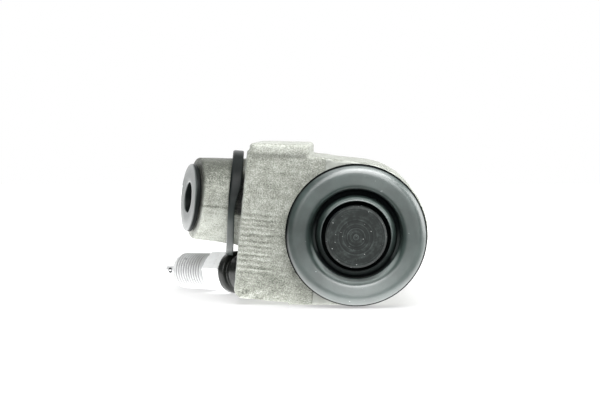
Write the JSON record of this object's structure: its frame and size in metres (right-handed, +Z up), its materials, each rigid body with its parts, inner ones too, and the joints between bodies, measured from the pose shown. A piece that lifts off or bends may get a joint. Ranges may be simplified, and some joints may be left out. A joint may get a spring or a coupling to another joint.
{
  "type": "wheel cylinder",
  "caption": "Drum brake wheel cylinder: cast aluminium body with slanted inlet boss, opposed pistons under rubber dust boots, plugged inlet and a loose capped bleed screw",
  "frame": {"origin": "on the mounting face, midway between the two mounting holes, level with the bore axis and at the middle of its length", "axes": "-X out of the mounting face, Y along the bore with the near piston toward -Y, Z up"},
  "size_m": [0.0702, 0.072, 0.0442],
  "materials": {
    "cast_aluminium": "as cast, coarse matt grain, machined end faces",
    "piston_alloy": "dark anodised, turned",
    "boot_rubber": "smooth moulded",
    "seal_rubber": "matt",
    "cap_rubber": "smooth moulded",
    "plug_plastic": "moulded",
    "zinc_steel": "bright zinc plate",
    "spring_steel": "plain"
  },
  "bodies": {
    "cylinder": {"cylinder_body": "cast_aluminium", "near_boot": "boot_rubber", "far_boot": "boot_rubber", "piston_spring": "spring_steel", "boss_seal_ring": "seal_rubber", "bleed_screw": "zinc_steel", "bleed_cap": "cap_rubber"},
    "near_piston": {"near_piston": "piston_alloy", "near_cup": "seal_rubber", "near_expander": "spring_steel"},
    "far_piston": {"far_piston": "piston_alloy", "far_cup": "seal_rubber", "far_expander": "spring_steel"},
    "plug": {"inlet_plug": "plug_plastic"}
  },
  "joints": [
    {"name": "near_piston_slide", "type": "slide", "parent": "cylinder", "child": "near_piston", "axis": [0, -1, 0], "range_m": [-0.003, 0.005], "deforming": ["near_boot", "piston_spring"]},
    {"name": "far_piston_slide", "type": "slide", "parent": "cylinder", "child": "far_piston", "axis": [0, 1, 0], "range_m": [-0.003, 0.005], "deforming": ["far_boot", "piston_spring"]},
    {"name": "inlet_plug_pull", "type": "slide", "parent": "cylinder", "child": "plug", "axis": [-0.9511, -0.309, 0], "range_m": [0, 0.014]}
  ]
}
